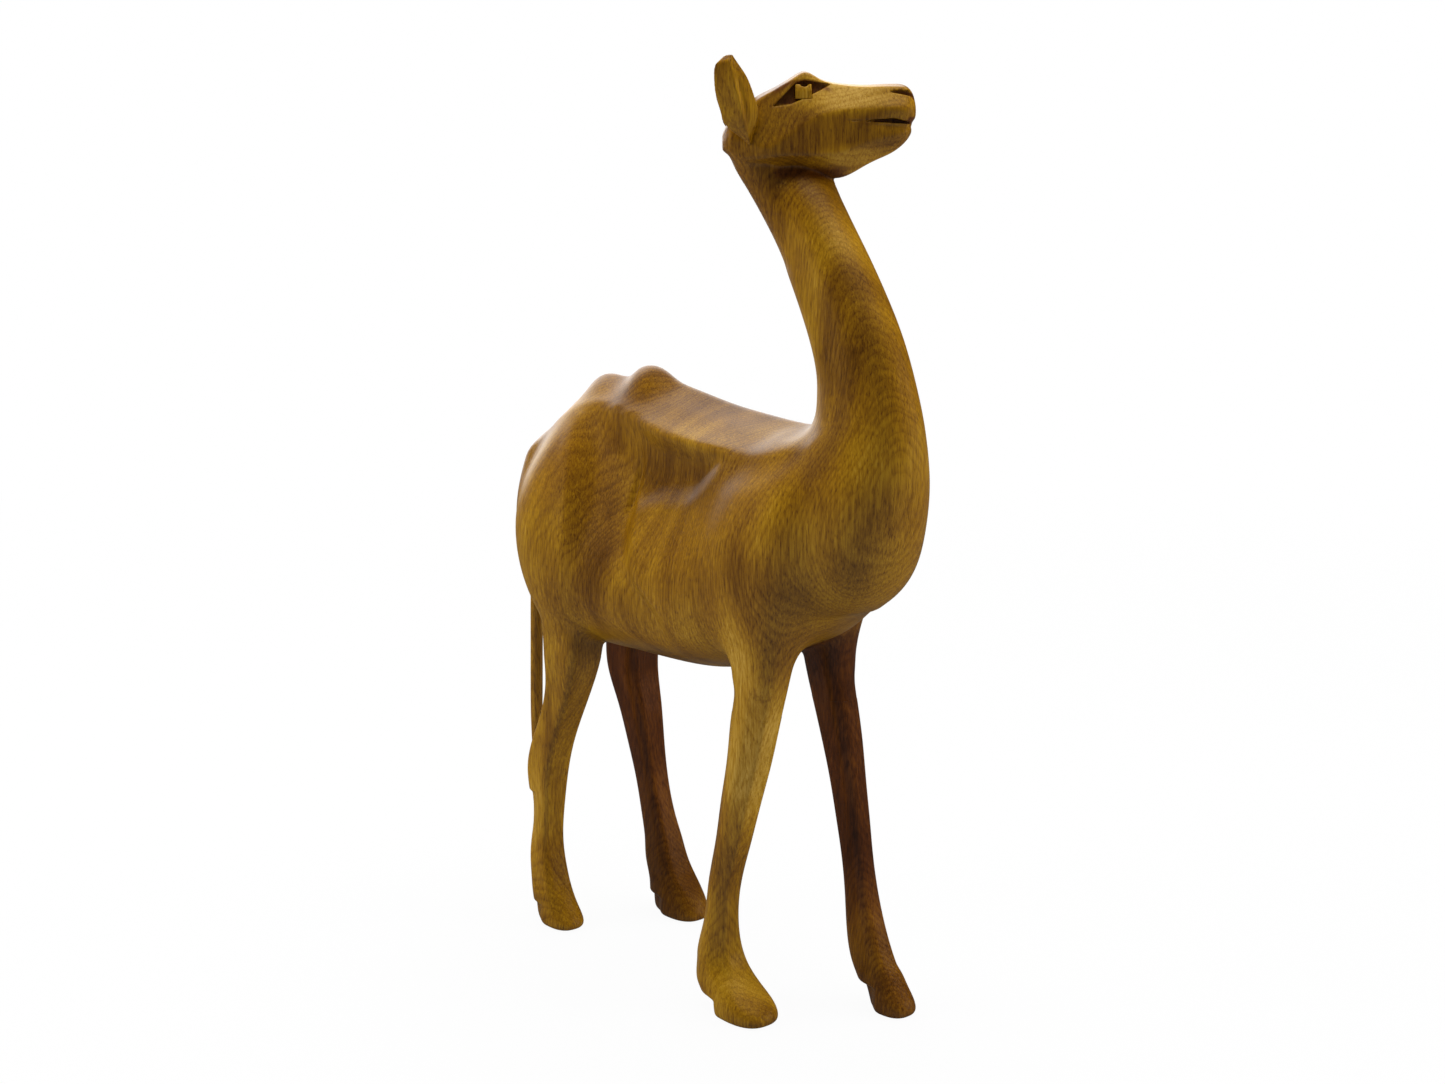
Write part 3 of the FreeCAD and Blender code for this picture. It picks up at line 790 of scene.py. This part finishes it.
def mesh_piece(name, points, faces):
    """A Blender object from design-frame points, at the record's origin."""
    data = bpy.data.meshes.new(name)
    data.from_pydata(((points + SHIFT) * MM).tolist(), [], faces.tolist())
    return add_object(name, data)


def cut_level(piece, z, keep_above):
    """Saw a piece level at z and close it with a flat face that leaves the dowel's bore open."""
    shape = bmesh.new()
    shape.from_mesh(piece.data)
    cut = bmesh.ops.bisect_plane(
        shape, geom=shape.verts[:] + shape.edges[:] + shape.faces[:], dist=1e-7,
        plane_co=(0, 0, z * MM), plane_no=(0, 0, 1),
        clear_inner=keep_above, clear_outer=not keep_above)
    rim = [edge for edge in cut["geom_cut"] if isinstance(edge, bmesh.types.BMEdge)]
    bmesh.ops.triangle_fill(shape, edges=rim, use_beauty=True, normal=(0, 0, -1 if keep_above else 1))
    bmesh.ops.recalc_face_normals(shape, faces=shape.faces[:])
    shape.to_mesh(piece.data)
    shape.free()


def largest_shell(piece):
    """Drop loose crumbs that carving can leave, keeping the largest shell."""
    shape = bmesh.new()
    shape.from_mesh(piece.data)
    left = set(shape.verts)
    shells = []
    while left:
        stack = [left.pop()]
        shell = list(stack)
        while stack:
            for edge in stack.pop().link_edges:
                for vert in edge.verts:
                    if vert in left:
                        left.remove(vert)
                        stack.append(vert)
                        shell.append(vert)
        shells.append(shell)
    shells.sort(key=len)
    for crumb in shells[:-1]:
        bmesh.ops.delete(shape, geom=crumb, context="VERTS")
    shape.to_mesh(piece.data)
    shape.free()


def finish_piece(piece, node):
    for polygon in piece.data.polygons:
        polygon.use_smooth = True
    piece.data.set_sharp_from_angle(angle=math.radians(42))
    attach(piece, "root")
    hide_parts(node)


def make_torso():
    block = Block((-106, -36, 88), (100, 36, 276), BODY_VOXEL, 12.0)
    carve_body(block)
    for place in LEG_SECTIONS:
        dowel_bore(block, "dowel_" + place, LEG_DOWEL, LEG_JOINT_Z)
    dowel_bore(block, "dowel_neck", NECK_DOWEL, HEAD_JOINT_Z)
    block.cut(rod(block, TAIL_TENON_START, TAIL_TENON_AIM, TAIL_TENON[0] + BORE_ROOM, 1.0,
                  TAIL_TENON[1] + BORE_END_ROOM), 0.0)
    torso = mesh_piece("torso_wood", *block.surface())
    cut_level(torso, LEG_JOINT_Z, True)
    cut_level(torso, HEAD_JOINT_Z, False)
    return torso


def make_leg(place):
    stations = np.asarray(LEG_SECTIONS[place], float)
    low_part = stations[stations[:, 2] < LEG_JOINT_Z + 8]
    block = block_round(low_part[:, :3], 14.0, LEG_VOXEL, 6.0)
    carve_leg(block, place)
    dowel_bore(block, "dowel_" + place, LEG_DOWEL, LEG_JOINT_Z)
    leg = mesh_piece("leg_" + place + "_wood", *block.surface())
    cut_level(leg, LEG_JOINT_Z, False)
    return leg


def make_head():
    block = Block((8, -32, 252), (70, 36, 302), HEAD_VOXEL, 6.0)
    carve_head(block)
    dowel_bore(block, "dowel_neck", NECK_DOWEL, HEAD_JOINT_Z)
    head = mesh_piece("head_wood", *block.surface())
    cut_level(head, HEAD_JOINT_Z, True)
    return head


def make_ear(name, side):
    corners = [head_point((s, side * t, z)) for s in (-26, -8) for t in (2, 16) for z in (273, 300)]
    block = block_round(corners, 1.0, EAR_VOXEL, 4.0)
    carve_ear(block, side)
    ear = mesh_piece("ear_" + name + "_wood", *block.surface())
    largest_shell(ear)
    return ear


def make_eye(name, side):
    (s, z), (length, height) = EYE_CENTRE, EYE_BLOCK
    corners = [head_point((s + a * length / 2, side * t, z + b * height / 2))
               for a in (-1, 1) for b in (-1, 1) for t in (EYE_SEAT, EYE_FACE)]
    block = block_round(corners, 1.0, EYE_VOXEL, 2.0)
    carve_eye(block)
    return mesh_piece("eye_" + name + "_wood", *block.surface())


def make_tail():
    line = np.array([(x, 0.0, z) for x, z, _ in TAIL] + [(-88.0, 0.0, 154.0)])
    block = block_round(line, 4.5, TAIL_VOXEL, 4.0)
    carve_tail(block, block.distance(trunk_mesh()))
    tail = mesh_piece("tail_wood", *block.surface())
    largest_shell(tail)
    return tail


def make_pieces():
    made = {"torso": make_torso(), "head": make_head(), "tail": make_tail()}
    for place in LEG_SECTIONS:
        made["leg_" + place] = make_leg(place)
    for name, side in (("left", 1), ("right", -1)):
        made["ear_" + name] = make_ear(name, side)
        made["eye_" + name] = make_eye(name, side)
    for node, piece in made.items():
        finish_piece(piece, node)
    return made


# ---------------------------------------------------------------- wood
PITH = (-120.0, 95.0)        # where the log's heart stood, mm in the statue's frame, beyond its left rear
PITH_LEAN = (0.05, -0.06)    # mm of lean per mm of height
RING_GAP = 1.35              # mm between growth rings
# Bends of the grain: noise scale per mm, the same up the log as a share of it, and sway in mm.
GRAIN_BENDS = [(0.022, 0.7, 26.0), (0.09, 0.6, 2.2), (0.45, 0.35, 0.5)]
# Tone across one growth ring, from early to late wood: position, grey.
RING_TONES = [(0.0, 0.62), (0.35, 0.70), (0.72, 0.34), (0.86, 0.16), (0.97, 0.60)]
# Colours of the wood from dark latewood to pale earlywood: position, linear colour.
WOOD_TONES = [
    (0.00, (0.045, 0.014, 0.000)),
    (0.28, (0.108, 0.040, 0.000)),
    (0.50, (0.200, 0.086, 0.000)),
    (0.72, (0.310, 0.154, 0.002)),
    (1.00, (0.460, 0.265, 0.030)),
]
GOLD_TINT = (0.97, 1.00, 1.20, 1)
# dark red of the far legs: heartwood with painted shade in it
HEART_AND_SHADE_TINT = (0.58, 0.38, 0.30, 1)
# painted shade in the eye hollows, mouth, nostrils and the crease under the jaw
CREVICE_SHADE_TINT = (0.42, 0.27, 0.35, 1)
HEART_AND_SHADE_DARKER = 0.20          # tone that the heartwood and the painted shade take away
VARNISH_ROUGHNESS = 0.38
VARNISH_SPECULAR = 0.35
GRAIN_RELIEF = (0.22, 0.00012)      # strength, and height in metres

# Places painted darker or paler: centre, radii, change of tone. Those marked painted light or painted shade
# stand in for how the lamps fall; the others are the log's own tone.
SHADE_AND_TONE_PATCHES = [
    ((-3.0, -18.0, 171.0), (28.0, 14.0, 12.0), -0.28),      # flank hollow: painted shade
    ((-36.0, -24.0, 148.0), (14.0, 12.0, 36.0), -0.26),     # side of the haunch: painted shade
    ((-15.0, 0.0, 195.0), (78.0, 22.0, 12.0), -0.11),       # top of the back: painted darker so the sheen on it reads grey, standing in for its reflection
    ((-75.0, -20.0, 142.0), (21.0, 14.0, 42.0), 0.21),      # outer rump: painted light
    ((-77.0, -24.0, 58.0), (11.0, 9.0, 62.0), 0.22),        # back of the near hind leg: painted light
    ((-50.0, -15.0, 88.0), (12.0, 14.0, 40.0), -0.15),      # front of the near thigh: painted shade
    ((-60.0, -15.0, 22.0), (9.0, 12.0, 34.0), -0.12),       # and of the shank under it: painted shade
    ((-20.0, 0.0, 108.0), (46.0, 30.0, 14.0), -0.05),       # under the belly: painted shade
    ((42.0, -22.0, 98.0), (15.0, 14.0, 46.0), 0.30),        # near foreleg: painted light
    ((-46.0, 19.0, 8.0), (16.0, 14.0, 22.0), -0.18),        # far hind foot
    ((84.0, -6.0, 172.0), (14.0, 22.0, 30.0), 0.14),        # breast
    ((70.0, -9.0, 222.0), (10.0, 11.0, 34.0), -0.17),       # streak up the neck
    ((51.0, 4.0, 289.5), (20.0, 20.0, 7.5), 0.33),          # forehead, nose and top of the cheek: painted light from above
    ((57.0, 10.0, 269.0), (18.0, 20.0, 5.5), 0.28),         # under the jaw: painted light bounced up from the floor
]


class Graph:
    """Short ways to add shader nodes and wire them."""

    def __init__(self, tree):
        self.nodes = tree.nodes
        self.links = tree.links

    def feed(self, socket, value):
        """Link an output to a socket, or set the socket's own value."""
        if isinstance(value, bpy.types.NodeSocket):
            self.links.new(value, socket)
        else:
            socket.default_value = value

    def wire(self, node, inputs):
        """Feed a node's inputs, given by name or number."""
        for key, value in inputs.items():
            self.feed(node.inputs[key], value)

    def add(self, kind, inputs, **settings):
        node = self.nodes.new("ShaderNode" + kind)
        for name, value in settings.items():
            setattr(node, name, value)
        self.wire(node, inputs)
        return node

    def math(self, operation, first, second=0.0, third=0.0):
        return self.add("Math", {0: first, 1: second, 2: third}, operation=operation).outputs[0]

    def vector(self, operation, first, second=(0.0, 0.0, 0.0)):
        node = self.add("VectorMath", {0: first, 1: second}, operation=operation)
        return node.outputs["Value" if operation == "LENGTH" else "Vector"]

    def parts(self, vector):
        return self.add("SeparateXYZ", {0: vector}).outputs

    def point(self, x, y=0.0):
        return self.add("CombineXYZ", {0: x, 1: y}).outputs[0]

    def radii_away(self, place, centre, radii):
        """Distance from a centre, counted in radii."""
        return self.vector("LENGTH", self.vector("DIVIDE", self.vector("SUBTRACT", place, centre), radii))

    def noise(self, place, scale, detail, stretch=1.0, output="Fac", rough=0.5):
        """Noise whose scale up the log is its scale across times stretch."""
        if stretch != 1.0:
            place = self.vector("MULTIPLY", place, (1.0, 1.0, stretch))
        inputs = {"Scale": scale, "Detail": detail, "Roughness": rough, "Vector": place}
        return self.add("TexNoise", inputs).outputs[output]

    def span(self, value, start, end, first=0.0, last=1.0):
        """A value carried smoothly from one range to another."""
        inputs = {"Value": value, "From Min": start, "From Max": end, "To Min": first, "To Max": last}
        return self.add("MapRange", inputs, interpolation_type="SMOOTHSTEP").outputs[0]

    def within(self, *limits):
        """One where each value is past the second of its limits, zero where any is before the first."""
        masks = [self.span(value, outside, inside) for value, outside, inside in limits]
        total = masks[0]
        for mask in masks[1:]:
            total = self.math("MULTIPLY", total, mask)
        return total

    def ramp(self, value, stops):
        node = self.add("ValToRGB", {"Fac": value})
        elements = node.color_ramp.elements
        while len(elements) < len(stops):
            elements.new(0.5)
        for element, (position, colour) in zip(elements, stops):
            element.position = position
            element.color = (*colour, 1) if isinstance(colour, tuple) else (colour, colour, colour, 1)
        return node.outputs["Color"]

    def tint(self, amount, colour, tint):
        node = self.add("Mix", {}, data_type="RGBA", blend_type="MULTIPLY")
        self.wire(node, {"Factor": amount, "A": colour, "B": tint})
        return node.outputs["Result"]

    def mix_shaders(self, amount, first, second):
        return self.add("MixShader", {0: amount, 1: first, 2: second}).outputs[0]

    def glow(self, strength):
        return self.add("Emission", {"Strength": strength}).outputs[0]


def new_material(name):
    """A material with its graph and its shader."""
    material = bpy.data.materials.new(name)
    material.use_nodes = True
    graph = Graph(material.node_tree)
    return material, graph, graph.nodes["Principled BSDF"]


def grain_place(graph):
    """Places in millimetres, in the sculptor's frame, straight and bent as the log's grain bends."""
    place = graph.nodes.new("ShaderNodeTexCoord").outputs["Object"]
    place = graph.vector("MULTIPLY", place, (1 / MM, 1 / MM, 1 / MM))
    place = graph.vector("SUBTRACT", place, tuple(SHIFT))
    bent = place
    for scale, stretch, sway in GRAIN_BENDS:
        turn = graph.noise(place, scale, 1.0, stretch, "Color")
        turn = graph.vector("SUBTRACT", turn, (0.5, 0.5, 0.5))
        bent = graph.vector("ADD", bent, graph.vector("MULTIPLY", turn, (sway, sway, 0.0)))
    return place, bent


def ring_depth(graph, bent):
    """Distance from the pith, in growth rings."""
    x, y, z = graph.parts(bent)
    east = graph.math("SUBTRACT", graph.math("MULTIPLY_ADD", z, -PITH_LEAN[0], x), PITH[0])
    north = graph.math("SUBTRACT", graph.math("MULTIPLY_ADD", z, -PITH_LEAN[1], y), PITH[1])
    square = graph.math("ADD", graph.math("MULTIPLY", east, east), graph.math("MULTIPLY", north, north))
    return graph.math("DIVIDE", graph.math("SQRT", square), RING_GAP)


def wood_figure(graph, place, bent):
    """Tone of the wood, 0 dark to 1 pale, and the height of its grain."""
    rings = ring_depth(graph, bent)
    line = graph.point(rings)
    year = graph.noise(line, 0.55, 1.0)
    ring = graph.ramp(graph.math("FRACT", graph.math("MULTIPLY_ADD", year, 1.8, rings)), RING_TONES)
    band = graph.noise(line, 0.16, 2.0)
    fibre = graph.noise(place, 1.9, 3.0, 0.05, rough=0.65)
    pores = graph.ramp(graph.noise(place, 2.6, 1.0, 0.16), [(0.57, 0.0), (0.68, 1.0)])
    zone = graph.noise(bent, 0.034, 2.0, 0.8)
    tone = graph.math("MULTIPLY_ADD", ring, 0.23, 0.385)
    shares = ((band, 0.5, 0.55), (fibre, 0.5, 0.80), (zone, 0.5, 0.75), (pores, 0.0, -0.17))
    for part, middle, weight in shares:
        tone = graph.math("MULTIPLY_ADD", graph.math("SUBTRACT", part, middle), weight, tone)
    height = graph.math("MULTIPLY_ADD", pores, -0.8, graph.math("MULTIPLY", fibre, 0.5))
    return tone, height


def paint_shade_and_tone(graph, place, tone):
    """Tone with painted light and painted shade added, and some of the log's own dark and pale places."""
    for centre, radii, change in SHADE_AND_TONE_PATCHES:
        inside = graph.span(graph.radii_away(place, centre, radii), 1.15, 0.45, 0.0, change)
        tone = graph.math("ADD", tone, inside)
    return tone


def heartwood_and_shade(graph, place):
    """How far a point lies in the dark red of the two left legs under the belly: partly heartwood, partly
    painted shade.
    """
    _, y, z = graph.parts(place)
    paler_foot = graph.span(z, 5.0, 50.0, 0.45, 1.0)
    return graph.math("MULTIPLY", graph.within((y, 1.0, 9.0), (z, 130.0, 116.0)), paler_foot)


def painted_crevice_shade(graph, place):
    """Painted shade in the hollows and creases: eye hollows, mouth, the crease under the jaw, and nostrils.
    """
    x, y, z = graph.parts(graph.vector("SUBTRACT", place, (HEAD_PIVOT_X, 0.0, 0.0)))
    forward = graph.math("MULTIPLY_ADD", x, TURN_COS, graph.math("MULTIPLY", y, TURN_SIN))
    aside = graph.math("MULTIPLY_ADD", x, -TURN_SIN, graph.math("MULTIPLY", y, TURN_COS))
    aside = graph.math("ABSOLUTE", aside)

    def height_off(level, fall=0.0):
        """Height above or below a line that runs forward from a level and falls on its way."""
        above = graph.math("SUBTRACT", z, level)
        return graph.math("ABSOLUTE", graph.math("MULTIPLY_ADD", forward, fall, above))

    eye = graph.radii_away(graph.point(forward, z), (1.5, 288.6, 0.0), (9.5, 4.4, 1.0))
    crevice_shades = [
        graph.within((eye, 1.05, 0.8), (aside, 7.7, 6.8)),
        graph.within((height_off(280.9), 1.3, 0.8), (aside, 7.6, 6.6), (forward, 19.0, 21.0)),
        graph.within((height_off(265.6), 3.2, 0.6), (forward, -9.0, -5.0), (forward, 17.0, 12.0)),
        graph.within((height_off(294.9, 0.2), 1.2, 0.7), (aside, 5.2, 4.4), (forward, 27.5, 28.5)),
    ]
    deepest = crevice_shades[0]
    for one_crevice in crevice_shades[1:]:
        deepest = graph.math("MAXIMUM", deepest, one_crevice)
    return deepest


def wood(name, darker=0.0, carries_crevice_shade=False):
    """Satin-varnished wood, cut from the one solid figure of the log, with painted light and shade laid on
    its tone.
    """
    material, graph, shader = new_material(name)
    place, bent = grain_place(graph)
    tone, height = wood_figure(graph, place, bent)
    tone = paint_shade_and_tone(graph, place, tone)
    heart_and_shade = heartwood_and_shade(graph, place)
    tone = graph.math("MULTIPLY_ADD", heart_and_shade, -HEART_AND_SHADE_DARKER, graph.math("SUBTRACT", tone, darker))
    golden = graph.ramp(graph.noise(bent, 0.028, 1.0), [(0.38, 0.0), (0.64, 1.0)])
    colour = graph.tint(golden, graph.ramp(tone, WOOD_TONES), GOLD_TINT)
    colour = graph.tint(heart_and_shade, colour, HEART_AND_SHADE_TINT)
    # painted shade in the head's hollows and creases
    if carries_crevice_shade:
        colour = graph.tint(painted_crevice_shade(graph, place), colour, CREVICE_SHADE_TINT)
    strength, distance = GRAIN_RELIEF
    bumps = graph.add("Bump", {"Strength": strength, "Distance": distance, "Height": height})
    graph.wire(shader, {"Base Color": colour, "Roughness": VARNISH_ROUGHNESS,
                        "Specular IOR Level": VARNISH_SPECULAR, "Normal": bumps.outputs[0]})
    return material


def dress(pieces):
    """Give every piece and every CAD node its wood."""
    golden = wood("golden_wood", carries_crevice_shade=True)
    tail = wood("tail_wood", darker=0.02)
    eye = wood("eye_wood", darker=0.08)
    dowel = wood("dowel_wood", darker=-0.2)
    special = {"tail": tail, "eye_left": eye, "eye_right": eye}
    for node, piece in list(pieces.items()) + list(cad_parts.items()):
        material = dowel if node.startswith("dowel") else special.get(node, golden)
        piece.data.materials.clear()
        piece.data.materials.append(material)


# ---------------------------------------------------------------- stage, light and camera
CAMERA_TURN = math.radians(50.0)
CAMERA_PITCH = math.radians(11.0)
CAMERA_POINT = (473.8, -394.5, 266.5)     # mm, sculptor's frame
CAMERA_LENS = 47.68
CAMERA_SENSOR = 36.0
FLOOR_HALF = 6.0
FLOOR_GREY = (0.50, 0.50, 0.50, 1)
FLOOR_IN_VARNISH = 0.12      # glow of the floor where the varnish mirrors it
STUDIO_LIGHT = 0.22          # glow of the surroundings on the statue
STUDIO_IN_VARNISH = 0.04     # and where the varnish mirrors them
LIGHT_AIM = (0, 0, 0.15)
# Square lights: name, place, size, power, and whether the varnish mirrors them too.
LIGHTS = [
    ("overhead", (0.05, 0.1, 1.0), 0.9, 12, False),
    ("left_soft", (-0.65, -0.80, 0.50), 0.6, 9.5, False),
    ("right_soft", (0.75, 0.75, 0.35), 0.6, 8.5, False),
    ("backdrop", (-1.05, 0.45, 0.75), 1.4, 16, True),
]


def add_camera():
    data = bpy.data.cameras.new("camera")
    data.sensor_width = CAMERA_SENSOR
    data.lens = CAMERA_LENS
    data.clip_start = 0.01
    camera = add_object("camera", data)
    camera.location = (np.array(CAMERA_POINT) + SHIFT) * MM
    camera.rotation_euler = (math.pi / 2 - CAMERA_PITCH, 0.0, CAMERA_TURN)
    bpy.context.scene.camera = camera


def add_floor():
    """A floor that is white to the eye up to the horizon, bounces soft light and is dim in the varnish."""
    mesh = bpy.data.meshes.new("floor")
    corners = [(x * FLOOR_HALF, y * FLOOR_HALF, 0) for x, y in ((-1, -1), (1, -1), (1, 1), (-1, 1))]
    mesh.from_pydata(corners, [], [(0, 1, 2, 3)])
    floor = add_object("floor", mesh)
    material, graph, shader = new_material("pale_floor")
    graph.wire(shader, {"Base Color": FLOOR_GREY, "Roughness": 0.9, "Specular IOR Level": 0.1})
    ray = graph.nodes.new("ShaderNodeLightPath").outputs
    place = graph.nodes.new("ShaderNodeTexCoord").outputs["Object"]
    away = graph.span(graph.vector("LENGTH", place), 0.15, 1.1, 0.95, 1.0)
    seen = graph.math("MULTIPLY", ray["Is Camera Ray"], away)
    surface = graph.mix_shaders(seen, shader.outputs[0], graph.glow(1.0))
    surface = graph.mix_shaders(ray["Is Glossy Ray"], surface, graph.glow(FLOOR_IN_VARNISH))
    graph.wire(graph.nodes["Material Output"], {"Surface": surface})
    floor.data.materials.append(material)


def add_light(name, location, size, power, mirrored):
    data = bpy.data.lights.new(name, "AREA")
    data.size = size
    data.energy = power
    light = add_object(name, data)
    light.location = location
    aim = Vector(LIGHT_AIM) - Vector(location)
    light.rotation_euler = aim.to_track_quat("-Z", "Y").to_euler()
    light.visible_camera = False
    light.visible_glossy = mirrored


def add_studio():
    """Surroundings white to the eye but dim in the varnish, and the lights."""
    world = bpy.data.worlds.new("studio")
    world.use_nodes = True
    graph = Graph(world.node_tree)
    ray = graph.nodes.new("ShaderNodeLightPath").outputs
    unseen = graph.math("MULTIPLY_ADD", ray["Is Glossy Ray"], STUDIO_IN_VARNISH - STUDIO_LIGHT, STUDIO_LIGHT)
    strength = graph.math("MULTIPLY_ADD", ray["Is Camera Ray"], 1.0 - STUDIO_LIGHT, unseen)
    graph.wire(graph.nodes["Background"], {"Color": (1, 1, 1, 1), "Strength": strength})
    bpy.context.scene.world = world
    bpy.context.scene.view_settings.view_transform = "Standard"
    for light in LIGHTS:
        add_light(*light)


dress(make_pieces())
add_floor()
add_studio()
add_camera()
